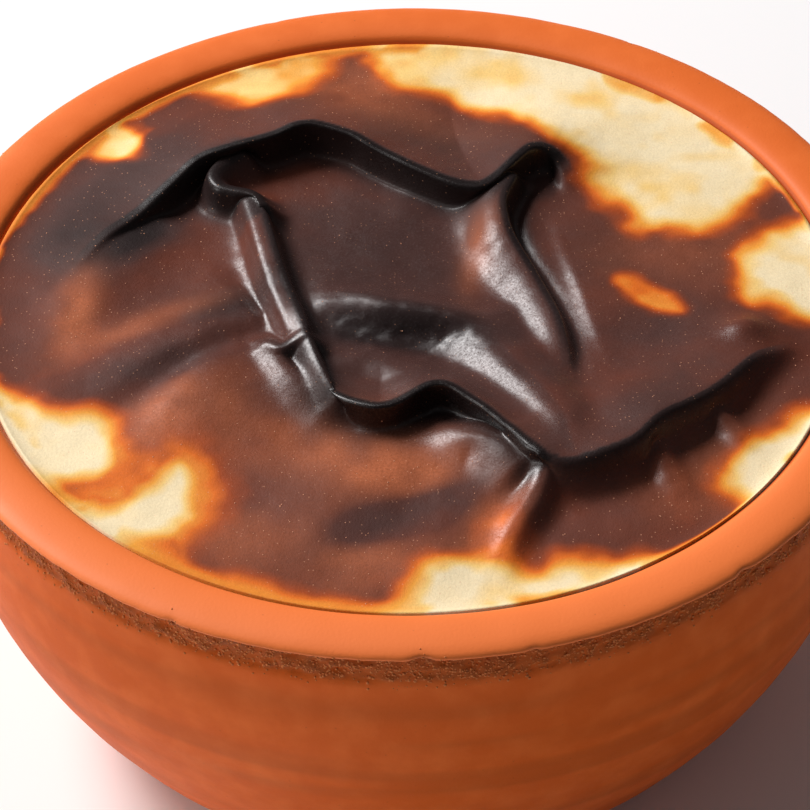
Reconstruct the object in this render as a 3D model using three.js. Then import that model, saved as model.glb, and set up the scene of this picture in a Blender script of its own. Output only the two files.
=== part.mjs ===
// Rice pudding, oven-browned, in the small round clay bowl it was baked in.
// Millimetres, +Z up. The origin is the middle of the foot's flat underside.
import * as THREE from 'three';

// ---- driving dimensions ----
const BOWL_HEIGHT = 55;        // foot to the crest of the rim
const SEGMENTS = 72;           // facets round the bowl, the same for both pieces

const RIM_INNER_R = 52.3;      // where the rim's top turns down into the bowl
const RIM_OUTER_R = 59.2;      // the lip's outer edge
const BAND_R = 58.3;           // the rough, slightly sunken band under the lip
const BAND_BOTTOM = 5.3;       // its lower edge, below the crest
const RIM_OUTLINE = [          // up from the band and over the rim, as [radius, drop below the crest]
  [BAND_R, 4.9],
  [BAND_R, 1.6],
  [RIM_OUTER_R, 0.8],
  [58.2, 0.25],
  [55.8, 0],
  [53.5, 0.1],
];
const RIM_INSIDE_DROP = 0.7;   // where the rim's rounding ends on the inside, below the crest

const BELLY_R = 58.4;          // widest part of the smooth wall
const BELLY_DROP = 12.3;       // how far the widest part lies below the crest
const LOWER_R = 45.4;          // the wall's radius where it starts to turn under
const LOWER_Z = 5.6;           // height of that turn above the table
const FOOT_R = 37.5;           // the flat that the bowl stands on
const FOOT_STEPS = 4;          // steps round the turn
const WALL_STEPS = 8;          // steps up the outer wall

const WALL = 6.8;              // thickness of the clay, wall and floor
const INNER_STEPS = 7;         // steps down the inner wall
const INSIDE_TAPER = 1.2;      // how much the inside narrows on the way down
const FLOOR_R = 30;            // flat part of the inside floor

const GAP = 0.3;               // clearance between the pudding and the clay
const FILL_DROP = 1.4;         // the pudding's level at the wall, below the crest
const SKIN_RINGS = 27;         // rings of facets on the pudding's skin

// ---- the folds of the skin ----
// Each fold runs along its crest as [x, y, height above the flat skin].
// `back` is the width of its gentle side, `face` that of its steep side.
// `side` is the steep side: -1 is to the right of the direction of travel, +1 to the left.
const FOLDS = [
  { // the long fold across the back, steep towards the front
    crest: [[-37.5, 13, 0.8], [-33, 17, 1.8], [-29, 21.5, 3.2], [-22, 25.5, 4.2], [-12.5, 30, 4.7],
      [-4, 26, 4.2], [7, 19, 3.4], [13, 23, 4.2], [17.5, 27, 3.6], [20, 25.5, 1.5]],
    back: 9, face: 2.6, side: -1,
  },
  { // curls out of the back fold and runs down the left of the middle
    crest: [[-22, 25.5, 4], [-24, 21.5, 3.8], [-21.5, 18.5, 3.8], [-18.5, 16, 4], [-16.5, 7.5, 4.2],
      [-14.5, 0.5, 4.2], [-12, -8, 4], [-10.5, -15, 3.8], [-8.5, -18.5, 3.8]],
    back: 4.5, face: 3, side: 1,
  },
  { // carries on along the front of the middle, undercut towards the front
    crest: [[-8.5, -18.5, 3.8], [-4.5, -21, 3.8], [-1, -20, 4], [3, -18.5, 4.2], [9, -22.5, 4],
      [12.5, -26.5, 3.6], [15, -30, 3.2]],
    back: 7, face: 2.6, side: -1,
  },
  { // turns right and fades out near the rim
    crest: [[15, -29.5, 3.2], [18, -30.5, 3.2], [25.5, -27.5, 3.2], [33.5, -20, 3.2], [41, -11.5, 2.4],
      [47, -9, 0.6]],
    back: 9, face: 2.8, side: -1,
  },
  { // the short spur that drops to the front of the bowl
    crest: [[15, -30, 3], [12.5, -36, 1.9], [10.5, -40, 1], [9, -43.5, 0.2]],
    back: 4.5, face: 2.4, side: 1,
  },
  { // runs forwards from the peak at the back right
    crest: [[14, 24, 3.8], [11, 16.5, 3.8], [12, 7.5, 3.9], [15, 0, 3.8], [17.5, -6.5, 3.2],
      [17.5, -13.5, 2]],
    back: 4.5, face: 2.2, side: 1,
  },
  { // the low swelling across the middle
    crest: [[-9.5, 0.5, 1.2], [-2.5, -1.5, 2.2], [5.5, -4, 2.6], [11, -8, 2.4], [14, -18, 2]],
    back: 4, face: 5, side: -1,
  },
  { // the small spur on the left of the front fold
    crest: [[-18.5, -9, 2.2], [-16, -13.5, 1.6], [-13, -19.5, 0.6]],
    back: 4, face: 3, side: 1,
  },
  { // soft folds that spread to the left and front left
    crest: [[-34.5, 15.5, 1.6], [-37.5, 9.5, 1.5], [-40.5, 2, 1.2], [-42, -6, 0.2]],
    back: 5, face: 7, side: 1,
  },
  {
    crest: [[-20.5, -1.5, 1.8], [-26, -5.5, 1.5], [-31, -8, 1.2], [-38, -14, 0.2]],
    back: 5, face: 5, side: 1,
  },
  {
    crest: [[-19, -9, 2], [-23, -12.5, 1.6], [-27, -18, 1.1], [-31, -25, 0.2]],
    back: 5, face: 6, side: 1,
  },
  {
    crest: [[21, 12, 0.6], [24, 2, 1.4], [25, -8, 1.6], [24, -16, 1]],
    back: 7, face: 4, side: -1,
  },
];
const CREST_SHARPNESS = 1.5;   // 2 makes round crests, 1 makes edges
const CREST_BLEND = 0.7;       // how softly two folds run into each other
const WALL_FADE = 7;           // width over which the folds die out towards the wall
const SKIN_DOME = 0.5;         // how much the flat skin stands up in the middle

// ---- the bowl's section ----

const BELLY_Z = BOWL_HEIGHT - BELLY_DROP;

/** Radius of the outer wall at height z: a parabola from the belly to the turn of the foot. */
function outerRadius(z) {
  const fall = Math.max(BELLY_Z - z, 0) / (BELLY_Z - LOWER_Z);
  return BELLY_R - (BELLY_R - LOWER_R) * fall * fall;
}

/** Radius of the inner wall at height z, from the clay's thickness and the floor's rounding. */
function innerRadius(z) {
  const depth = (BOWL_HEIGHT - z) / (BOWL_HEIGHT - WALL);
  const wall = RIM_INNER_R - GAP - INSIDE_TAPER * depth;
  const rounding = Math.sqrt(Math.max(1 - depth ** 4, 0));
  return FLOOR_R + (wall - FLOOR_R) * rounding;
}

/** Points from the flat of the foot to the wall, rounding under in line with the wall's slope. */
function footProfile() {
  const slope = (2 * (BELLY_R - LOWER_R)) / (BELLY_Z - LOWER_Z);
  const turn = new THREE.QuadraticBezierCurve(
    new THREE.Vector2(FOOT_R, 0),
    new THREE.Vector2(LOWER_R - slope * LOWER_Z, 0),
    new THREE.Vector2(LOWER_R, LOWER_Z),
  );
  return turn.getPoints(FOOT_STEPS);
}

/** Points down the inside, from the rim to the edge of the floor, moved in by `inset`. */
function insideProfile(topZ, inset) {
  const floor = WALL + inset;
  const points = [];
  for (let i = 0; i <= INNER_STEPS; i += 1) {
    const turn = (Math.PI / 2) * (i / INNER_STEPS);
    const z = floor + (topZ - floor) * (1 - Math.sin(turn));
    points.push(new THREE.Vector2(innerRadius(z - inset) - inset, z));
  }
  return points;
}

/** Revolves a section about +Z. */
function revolve(profile) {
  return new THREE.LatheGeometry(profile, SEGMENTS).rotateX(Math.PI / 2);
}

function bowlGeometry() {
  const top = BOWL_HEIGHT;
  const wall = [];
  const wallTop = top - BAND_BOTTOM;
  for (let i = 1; i <= WALL_STEPS; i += 1) {
    const z = LOWER_Z + (wallTop - LOWER_Z) * (i / WALL_STEPS);
    wall.push(new THREE.Vector2(outerRadius(z), z));
  }
  const lip = RIM_OUTLINE.map(([r, drop]) => new THREE.Vector2(r, top - drop));
  const inside = insideProfile(top - RIM_INSIDE_DROP, 0);
  const underside = new THREE.Vector2(0, 0);
  const floor = new THREE.Vector2(0, WALL);
  return revolve([underside, ...footProfile(), ...wall, ...lip, ...inside, floor]);
}

// ---- the pudding's skin ----

/** The nearest point of a crest line: its distance, its side and the crest's height there. */
function nearestOnCrest(crest, x, y) {
  let best = { distance: Infinity, side: 1, height: 0 };
  for (let i = 0; i + 1 < crest.length; i += 1) {
    const [ax, ay, ah] = crest[i];
    const [bx, by, bh] = crest[i + 1];
    const ux = bx - ax;
    const uy = by - ay;
    const along = ((x - ax) * ux + (y - ay) * uy) / (ux * ux + uy * uy);
    const t = THREE.MathUtils.clamp(along, 0, 1);
    const dx = x - (ax + ux * t);
    const dy = y - (ay + uy * t);
    const distance = Math.hypot(dx, dy);
    if (distance < best.distance) {
      best = { distance, side: Math.sign(ux * dy - uy * dx) || 1, height: ah + (bh - ah) * t };
    }
  }
  return best;
}

/** Height that one fold gives the skin at (x, y). */
function foldHeight(fold, x, y) {
  const near = nearestOnCrest(fold.crest, x, y);
  const width = near.side === fold.side ? fold.face : fold.back;
  return near.height * Math.exp(-((near.distance / width) ** CREST_SHARPNESS));
}

/** Height of the skin at (x, y). Folds run into each other, and die out at the wall. */
function skinHeight(x, y, wallR) {
  const r = Math.hypot(x, y);
  const sum = FOLDS.reduce((total, fold) => total + Math.expm1(foldHeight(fold, x, y) / CREST_BLEND), 1);
  const folds = CREST_BLEND * Math.log(sum);
  const fade = THREE.MathUtils.smoothstep(wallR - r, 0, WALL_FADE);
  const dome = SKIN_DOME * (1 - (r / wallR) ** 2);
  return BOWL_HEIGHT - FILL_DROP + dome + folds * fade;
}

function puddingGeometry() {
  const side = insideProfile(BOWL_HEIGHT - FILL_DROP, GAP).reverse();
  const wallR = side[side.length - 1].x;
  const skin = [];
  for (let i = SKIN_RINGS - 1; i >= 0; i -= 1) {
    skin.push(new THREE.Vector2(wallR * (i / SKIN_RINGS), BOWL_HEIGHT - FILL_DROP));
  }
  const profile = [new THREE.Vector2(0, WALL + GAP), ...side, ...skin];
  const geometry = revolve(profile);
  const position = geometry.getAttribute('position');
  const firstOnSkin = side.length;
  for (let i = 0; i < position.count; i += 1) {
    if (i % profile.length >= firstOnSkin) {
      position.setZ(i, skinHeight(position.getX(i), position.getY(i), wallR));
    }
  }
  geometry.computeVertexNormals();
  return geometry;
}

// ---- assembly ----

const clay = new THREE.MeshStandardMaterial({ color: 0xb5592f, roughness: 0.85, metalness: 0 });
const brownedSkin = new THREE.MeshStandardMaterial({ color: 0x4f322a, roughness: 0.4, metalness: 0 });

function piece(name, geometry, material) {
  const mesh = new THREE.Mesh(geometry, material);
  mesh.name = name;
  return mesh;
}

const ricePudding = new THREE.Group();
ricePudding.add(
  piece('bowl', bowlGeometry(), clay),
  piece('pudding', puddingGeometry(), brownedSkin),
);

export default ricePudding;
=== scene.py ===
"""Rice pudding with a dark, wrinkled skin, in the small clay bowl it was baked in."""

import itertools
import logging
import math
from dataclasses import dataclass
from enum import Enum
from typing import ClassVar

import bpy
import numpy as np
from bpy.types import Material, Node, NodeSocket, NodeTree, Object
from mathutils import Matrix, Vector


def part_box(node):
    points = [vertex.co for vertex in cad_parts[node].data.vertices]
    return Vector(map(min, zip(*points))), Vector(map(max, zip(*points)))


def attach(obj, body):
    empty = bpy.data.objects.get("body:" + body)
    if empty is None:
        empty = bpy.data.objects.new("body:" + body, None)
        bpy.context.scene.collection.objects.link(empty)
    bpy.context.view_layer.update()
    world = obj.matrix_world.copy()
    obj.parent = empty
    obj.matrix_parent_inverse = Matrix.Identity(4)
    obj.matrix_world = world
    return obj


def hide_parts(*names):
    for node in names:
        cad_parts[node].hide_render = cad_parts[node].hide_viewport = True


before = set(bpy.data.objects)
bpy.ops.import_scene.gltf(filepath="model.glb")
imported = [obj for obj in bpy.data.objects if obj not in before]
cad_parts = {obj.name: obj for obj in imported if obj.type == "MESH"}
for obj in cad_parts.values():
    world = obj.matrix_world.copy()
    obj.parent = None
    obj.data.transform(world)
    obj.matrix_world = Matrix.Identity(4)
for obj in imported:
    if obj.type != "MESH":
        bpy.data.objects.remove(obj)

LOG = logging.getLogger("rice_pudding")
MM = 0.001                        # design sizes below are in millimetres, unless they say metres
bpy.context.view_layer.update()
RIM_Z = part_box("bowl")[1].z / MM  # height of the rim's crest
BODY = "root"
Rows = np.ndarray                 # one row, or one number, for each place


# ---- helpers


def srgb(red: int, green: int, blue: int) -> tuple[float, float, float, float]:
    """Turns a display colour into a linear one with full alpha.

    Args:
        red, green, blue: The display colour, each from 0 to 255.

    Returns:
        Red, green, blue and alpha, each from 0 to 1.
    """
    def linear(value: int) -> float:
        """One channel, from display to linear."""
        share = value / 255
        return share / 12.92 if share <= 0.04045 else ((share + 0.055) / 1.055) ** 2.4
    return (linear(red), linear(green), linear(blue), 1.0)


def smoothstep(low: float, high: float, value: Rows) -> Rows:
    """Rises smoothly from 0 at low to 1 at high."""
    share = np.clip((value - low) / (high - low), 0.0, 1.0)
    return share * share * (3.0 - 2.0 * share)


@dataclass(frozen=True)
class Noise:
    """Smooth noise in space, between -1 and 1, the same on every run."""

    wavelength: float
    seed: int
    lattice: int = 32

    def at(self, points: Rows) -> Rows:
        """Reads the noise.

        Args:
            points: Rows of coordinates, in millimetres.

        Returns:
            One value for each row.
        """
        axes = points.shape[1]
        values = np.random.default_rng(self.seed).uniform(-1.0, 1.0, (self.lattice,) * axes)
        cell = points / self.wavelength
        corner = np.floor(cell).astype(int)
        blend = cell - corner
        blend = blend * blend * (3.0 - 2.0 * blend)
        total = np.zeros(len(points))
        for step in itertools.product((0, 1), repeat=axes):
            weight = np.ones(len(points))
            for axis, side in enumerate(step):
                weight = weight * (blend[:, axis] if side else 1.0 - blend[:, axis])
            index = tuple((corner[:, axis] + side) % self.lattice for axis, side in enumerate(step))
            total += weight * values[index]
        return total


def smooth_line(rows: Rows, step: float, closed: bool = False) -> Rows:
    """Runs a Catmull-Rom curve through rows of values whose first two are x and y.

    Args:
        rows: The given rows, x and y first, anything else after them.
        step: Rough spacing of the new rows, in millimetres.
        closed: Whether the curve comes back to its first row.

    Returns:
        The new rows, with every column smoothed alike.
    """
    if closed:
        padded = np.vstack([rows[-1:], rows, rows[:2]])
    else:
        padded = np.vstack([2 * rows[:1] - rows[1:2], rows, 2 * rows[-1:] - rows[-2:-1]])
    out = []
    for before, start, end, after in zip(padded, padded[1:], padded[2:], padded[3:]):
        count = max(int(np.ceil(np.hypot(*(end - start)[:2]) / step)), 1)
        t = np.arange(count)[:, None] / count
        out.append(0.5 * (2 * start + (end - before) * t
                          + (2 * before - 5 * start + 4 * end - after) * t ** 2
                          + (3 * start - before - 3 * end + after) * t ** 3))
    if not closed:
        out.append(rows[-1:])
    return np.vstack(out)


def link_object(name: str, data: bpy.types.ID) -> Object:
    """Puts a new object with this data in the scene."""
    made = bpy.data.objects.new(name, data)
    bpy.context.scene.collection.objects.link(made)
    return made


def link_mesh(name: str, vertices: Rows, faces: list, finish: Material) -> Object:
    """Makes a smooth-shaded mesh object at the origin.

    Args:
        name: The piece's name.
        vertices: Rows of x, y, z in millimetres.
        faces: Lists of vertex numbers.
        finish: The material.

    Returns:
        The linked object.
    """
    mesh = bpy.data.meshes.new(name)
    mesh.from_pydata((vertices * MM).tolist(), [], faces)
    mesh.validate()
    mesh.materials.append(finish)
    mesh.shade_smooth()
    return link_object(name, mesh)


def ring_faces(first: Rows, second: Rows) -> list:
    """Joins two closed rings of vertex numbers with quads, each starting on the first ring."""
    return np.column_stack([first, np.roll(first, -1), np.roll(second, -1), second]).tolist()


def fan_faces(ring: Rows, tip: int) -> list:
    """Joins a closed ring of vertex numbers to one vertex with triangles."""
    return np.column_stack([ring, np.full(len(ring), tip), np.roll(ring, -1)]).tolist()


def add_values(piece: Object, **values: Rows) -> None:
    """Stores named numbers in a mesh, for materials and node trees to read.

    Args:
        piece: The mesh object.
        values: For each name, the first vertices' numbers; the rest get 0.
    """
    for name, numbers in values.items():
        stored = np.zeros(len(piece.data.vertices), np.float32)
        stored[:len(numbers)] = numbers
        piece.data.attributes.new(name, "FLOAT", "POINT").data.foreach_set("value", stored)


def place_piece(piece: Object, slot: str, *replaced: str) -> None:
    """Hangs a finished piece on the body and reports it.

    Args:
        piece: The piece.
        slot: Not used.
        replaced: The nodes that it stands for.
    """
    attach(piece, BODY)
    if replaced:
        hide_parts(*replaced)
    LOG.info("%s: %d vertices", piece.name, len(piece.data.vertices))


# ---- shader groups


class Nodes:
    """Adds and wires nodes in one tree, in short calls."""

    def __init__(self, tree: NodeTree) -> None:
        """Keeps the tree."""
        self.tree = tree

    def add(self, kind: str, values: dict | None = None, **settings: object) -> Node:
        """Adds a node.

        Args:
            kind: The node's type.
            values: Its inputs, as for fill.
            settings: Its plain properties.

        Returns:
            The node.
        """
        node = self.tree.nodes.new(kind)
        for key, value in settings.items():
            setattr(node, key, value)
        self.fill(node, values or {})
        return node

    def fill(self, node: Node, values: dict) -> None:
        """Links or sets a node's inputs.

        Args:
            node: The node.
            values: For inputs by name or number, the socket to link or the value to set.
        """
        for key, value in values.items():
            if isinstance(value, NodeSocket):
                self.tree.links.new(value, node.inputs[key])
            else:
                node.inputs[key].default_value = value

    def math(self, operation: str, first: object, second: object) -> NodeSocket:
        """Works on two values, each a socket or a number, and returns the result's socket."""
        return self.add("ShaderNodeMath", {0: first, 1: second}, operation=operation).outputs[0]

    def mix(self, share: object, first: object, second: object, blend: str = "MIX") -> NodeSocket:
        """Mixes two colours, each a socket or a colour, and returns the result's socket."""
        values = {"Factor": share, 6: first, 7: second}
        return self.add("ShaderNodeMix", values, data_type="RGBA", blend_type=blend).outputs[2]

    def spread(self, value: object, low: float, high: float) -> NodeSocket:
        """Stretches a value that runs from 0 to 1 to run from low to high."""
        return self.add("ShaderNodeMapRange", {"Value": value, "To Min": low, "To Max": high}).outputs[0]

    def ramp(self, share: NodeSocket, stops: tuple) -> NodeSocket:
        """Turns a value into a colour.

        Args:
            share: The value, from 0 to 1.
            stops: Positions with their colours.

        Returns:
            The colour's socket.
        """
        node = self.add("ShaderNodeValToRGB", {"Fac": share})
        while len(node.color_ramp.elements) < len(stops):
            node.color_ramp.elements.new(0.5)
        for element, (position, colour) in zip(node.color_ramp.elements, stops):
            element.position, element.color = position, colour
        return node.outputs["Color"]

    def attribute(self, name: str) -> NodeSocket:
        """Reads a stored number of the surface."""
        return self.add("ShaderNodeAttribute", attribute_name=name).outputs["Fac"]

    def relief(self, shader: Node, height: NodeSocket, depth: float, strength: float = 1.0) -> None:
        """Bends a shader's normals by a height; depth is in metres."""
        bump = self.add("ShaderNodeBump", {"Distance": depth, "Strength": strength, "Height": height})
        self.fill(shader, {"Normal": bump.outputs["Normal"]})


def new_group(name: str, inputs: dict[str, float], *outputs: str) -> tuple[Nodes, object, Node]:
    """Starts a shader group with named sockets, the first of them the place on the surface.

    Args:
        name: The group's name.
        inputs: Name and start value of each further input.
        outputs: Names of the value outputs.

    Returns:
        The group's node helper, its input node's sockets and its output node.
    """
    tree = bpy.data.node_groups.new(name, "ShaderNodeTree")
    tree.interface.new_socket("Place", in_out="INPUT", socket_type="NodeSocketVector")
    for label, value in inputs.items():
        socket = tree.interface.new_socket(label, in_out="INPUT", socket_type="NodeSocketFloat")
        socket.default_value = value
    for label in outputs:
        tree.interface.new_socket(label, in_out="OUTPUT", socket_type="NodeSocketFloat")
    nodes = Nodes(tree)
    return nodes, nodes.add("NodeGroupInput").outputs, nodes.add("NodeGroupOutput")


def grain_group(drift_scale: float = 0.08) -> NodeTree:
    """Makes fine grain and a slower drift, for every finish.

    Args:
        drift_scale: The drift's scale, as a share of the grain's.

    Returns:
        The group.
    """
    nodes, given, result = new_group("fine_grain", {"Scale": 1000.0, "Roughness": 0.6}, "Grain", "Drift")
    fine = nodes.add("ShaderNodeTexNoise", {
        "Vector": given["Place"], "Scale": given["Scale"], "Roughness": given["Roughness"], "Detail": 5.0})
    coarse = nodes.math("MULTIPLY", given["Scale"], drift_scale)
    drift = nodes.add("ShaderNodeTexNoise", {"Vector": given["Place"], "Scale": coarse, "Detail": 3.0})
    nodes.fill(result, {"Grain": fine.outputs["Fac"], "Drift": drift.outputs["Fac"]})
    return nodes.tree


def fleck_group() -> NodeTree:
    """Makes scattered round flecks or pores.

    Returns:
        The group, which gives 1 inside a fleck and 0 between them.
    """
    sizes = {"Scale": 500.0, "Size": 0.12, "Share": 0.3}
    nodes, given, result = new_group("scattered_flecks", sizes, "Flecks")
    cells = nodes.add("ShaderNodeTexVoronoi", {"Vector": given["Place"], "Scale": given["Scale"]})
    inside = nodes.add("ShaderNodeMapRange", {
        "Value": cells.outputs["Distance"], "From Min": 0.0, "From Max": given["Size"],
        "To Min": 1.0, "To Max": 0.0}, interpolation_type="SMOOTHSTEP")
    picked = nodes.add("ShaderNodeSeparateColor", {"Color": cells.outputs["Color"]})
    chosen = nodes.math("LESS_THAN", picked.outputs["Red"], given["Share"])
    nodes.fill(result, {"Flecks": nodes.math("MULTIPLY", inside.outputs[0], chosen)})
    return nodes.tree


class SharedGroups:
    """The shader groups that more than one finish uses, each built once."""

    def __init__(self) -> None:
        """Builds both groups."""
        self.grain = grain_group()
        self.flecks = fleck_group()

    def place(self, nodes: Nodes, tree: NodeTree, **values: float) -> object:
        """Puts a group in a material with its own values and returns its outputs."""
        place = nodes.add("ShaderNodeTexCoord").outputs["Object"]
        return nodes.add("ShaderNodeGroup", {"Place": place, **values}, node_tree=tree).outputs


def new_material(name: str) -> tuple[Material, Nodes, Node]:
    """Starts a node material.

    Args:
        name: Its name.

    Returns:
        The material, its node helper and its Principled BSDF.
    """
    material = bpy.data.materials.new(name)
    material.use_nodes = True
    return material, Nodes(material.node_tree), material.node_tree.nodes["Principled BSDF"]


# ---- finishes


@dataclass(frozen=True)
class FiredClay:
    """Unglazed orange clay: fine grain, dark flecks, a rough band where it tore and a baked-on stain."""

    smooth: tuple = srgb(220, 97, 26)
    pale: tuple = srgb(252, 130, 62)
    # The rough band under the lip is darker: partly the clay's own colour where it tore, partly painted
    # shade under the overhanging lip.
    torn: tuple = srgb(156, 74, 22)
    stained: tuple = srgb(150, 52, 14)
    fleck: tuple = srgb(120, 52, 26)
    fleck_share: float = 0.3
    # Painted shade in the rough band's pits.
    pit_shade: tuple = srgb(84, 38, 14)
    grain_scale: float = 2600.0
    grain_depth: float = 0.00005
    # Painted sheen: how far the rim top is painted towards the pale clay.
    rim_sheen_paleness: float = 0.9
    rim_polish: float = 0.45
    polish_roughness: float = 0.5
    specular: float = 0.12

    def make(self, groups: SharedGroups) -> Material:
        """Builds the material on the clay mesh's torn, stain, rim and streak values.

        Args:
            groups: The shared shader groups.

        Returns:
            The material.
        """
        material, nodes, shader = new_material("fired_clay")
        grain = groups.place(nodes, groups.grain, Scale=self.grain_scale)
        flecks = groups.place(nodes, groups.flecks, Scale=900.0, Size=0.16, Share=0.16)["Flecks"]
        pits = groups.place(nodes, groups.flecks, Scale=1900.0, Size=0.32, Share=0.55)["Flecks"]
        torn, rim = nodes.attribute("torn"), nodes.attribute("rim")
        colour = nodes.mix(nodes.spread(grain["Drift"], -0.5, 0.7), self.smooth, self.pale)
        # Painted sheen: the rim top is painted paler, most at the front.
        colour = nodes.mix(nodes.math("MULTIPLY", rim, self.rim_sheen_paleness), colour, self.pale)
        # Partly painted shade: the rough band under the lip is darker, and its pits are darker still.
        colour = nodes.mix(torn, colour, self.torn)
        colour = nodes.mix(nodes.attribute("stain"), colour, self.stained)
        colour = nodes.mix(nodes.math("MULTIPLY", pits, torn), colour, self.pit_shade)
        colour = nodes.mix(nodes.attribute("streak"), colour, self.torn)
        colour = nodes.mix(nodes.math("MULTIPLY", flecks, self.fleck_share), colour, self.fleck)
        nodes.fill(shader, {
            "Base Color": colour,
            "Roughness": nodes.spread(grain["Grain"], 0.44, 0.62),
            "Coat Weight": nodes.math("MULTIPLY", rim, self.rim_polish),
            "Coat Roughness": self.polish_roughness,
            "Specular IOR Level": self.specular,
        })
        nodes.relief(shader, grain["Grain"], self.grain_depth, 0.5)
        return material


@dataclass(frozen=True)
class BakedSkin:
    """Milk-pudding skin from cream through amber to near black, satin, with fine specks."""

    stops: tuple = (
        (0.00, srgb(252, 232, 190)),
        (0.12, srgb(250, 210, 132)),
        (0.25, srgb(244, 166, 66)),
        (0.38, srgb(226, 112, 34)),
        (0.50, srgb(164, 70, 26)),
        (0.62, srgb(106, 54, 39)),
        (0.73, srgb(79, 51, 46)),
        (0.85, srgb(46, 33, 32)),
        # Near black: charred skin, and painted shade on the folds' steep faces.
        (1.00, srgb(9, 6, 6)),
    )
    tan: tuple = srgb(180, 100, 64)
    speck: tuple = srgb(236, 172, 136)
    unevenness: float = 0.04
    grain_scale: float = 3200.0
    grain_depth: float = 0.00007
    coat_roughness: float = 0.27
    specular: float = 0.15
    refraction: float = 1.45

    def make(self, groups: SharedGroups) -> Material:
        """Builds the material on the skin mesh's browning, tan and gloss values.

        Args:
            groups: The shared shader groups.

        Returns:
            The material.
        """
        material, nodes, shader = new_material("baked_skin")
        grain = groups.place(nodes, groups.grain, Scale=self.grain_scale, Roughness=0.7)
        specks = groups.place(nodes, groups.flecks, Scale=1700.0, Size=0.2, Share=0.4)["Flecks"]
        tan, gloss = nodes.attribute("tan"), nodes.attribute("gloss")
        uneven = nodes.spread(grain["Drift"], -self.unevenness, self.unevenness)
        colour = nodes.ramp(nodes.math("ADD", nodes.attribute("browning"), uneven), self.stops)
        colour = nodes.mix(tan, colour, self.tan)
        grainy = nodes.spread(grain["Grain"], -0.3, 2.3)
        colour = nodes.mix(nodes.spread(tan, 0.16, 0.5), colour, grainy, "MULTIPLY")
        shown = nodes.math("MULTIPLY", specks, nodes.spread(gloss, 0.7, 0.35))
        colour = nodes.mix(shown, colour, self.speck)
        worn = nodes.spread(grain["Grain"], -0.14, 0.2)
        patchy = nodes.math("MAXIMUM", nodes.spread(grain["Grain"], -0.75, 1.6), 0.0)
        nodes.fill(shader, {
            "Base Color": colour,
            "Roughness": nodes.math("ADD", nodes.spread(gloss, 0.58, 0.22), worn),
            "Coat Weight": nodes.math("MULTIPLY", gloss, patchy),
            "Coat Roughness": self.coat_roughness,
            "Specular IOR Level": self.specular,
            "IOR": self.refraction,
        })
        nodes.relief(shader, grain["Grain"], self.grain_depth, 0.8)
        return material


@dataclass(frozen=True)
class BitFinish:
    """Small scattered bits: one colour drifting to another, dull, with fine grain."""

    name: str
    dark: tuple
    light: tuple
    roughness: float
    grain_scale: float = 1500.0
    grain_depth: float = 0.00003

    def make(self, groups: SharedGroups) -> Material:
        """Builds the material, the same all over.

        Args:
            groups: The shared shader groups.

        Returns:
            The material.
        """
        material, nodes, shader = new_material(self.name)
        grain = groups.place(nodes, groups.grain, Scale=self.grain_scale)
        nodes.fill(shader, {
            "Base Color": nodes.mix(grain["Grain"], self.dark, self.light),
            "Roughness": nodes.spread(grain["Drift"], self.roughness - 0.15, self.roughness + 0.15),
        })
        nodes.relief(shader, grain["Grain"], self.grain_depth)
        return material


MILK_SPECKS = BitFinish("dried_milk", srgb(196, 120, 86), srgb(236, 176, 140), 0.5)
# Painted light: the grit is painted paler than the clay, against the shade under the lip.
GRIT_PAINTED_PALE = BitFinish("fired_grit_painted_pale", srgb(172, 88, 36), srgb(236, 142, 74), 0.8)


# ---- scattered bits


class BitInput(Enum):
    """The scatter tree's named inputs: label, socket type and start value; sizes are in metres."""

    DENSITY = ("Density", "NodeSocketFloat", 100000.0)
    WHERE = ("Where", "NodeSocketString", "flecked")
    SEED = ("Seed", "NodeSocketInt", 1)
    SMALLEST = ("Smallest", "NodeSocketFloat", 0.0001)
    LARGEST = ("Largest", "NodeSocketFloat", 0.0003)
    HEIGHT = ("Height", "NodeSocketFloat", 0.6)
    ROUNDNESS = ("Roundness", "NodeSocketInt", 1)
    FINISH = ("Finish", "NodeSocketMaterial", None)


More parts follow.
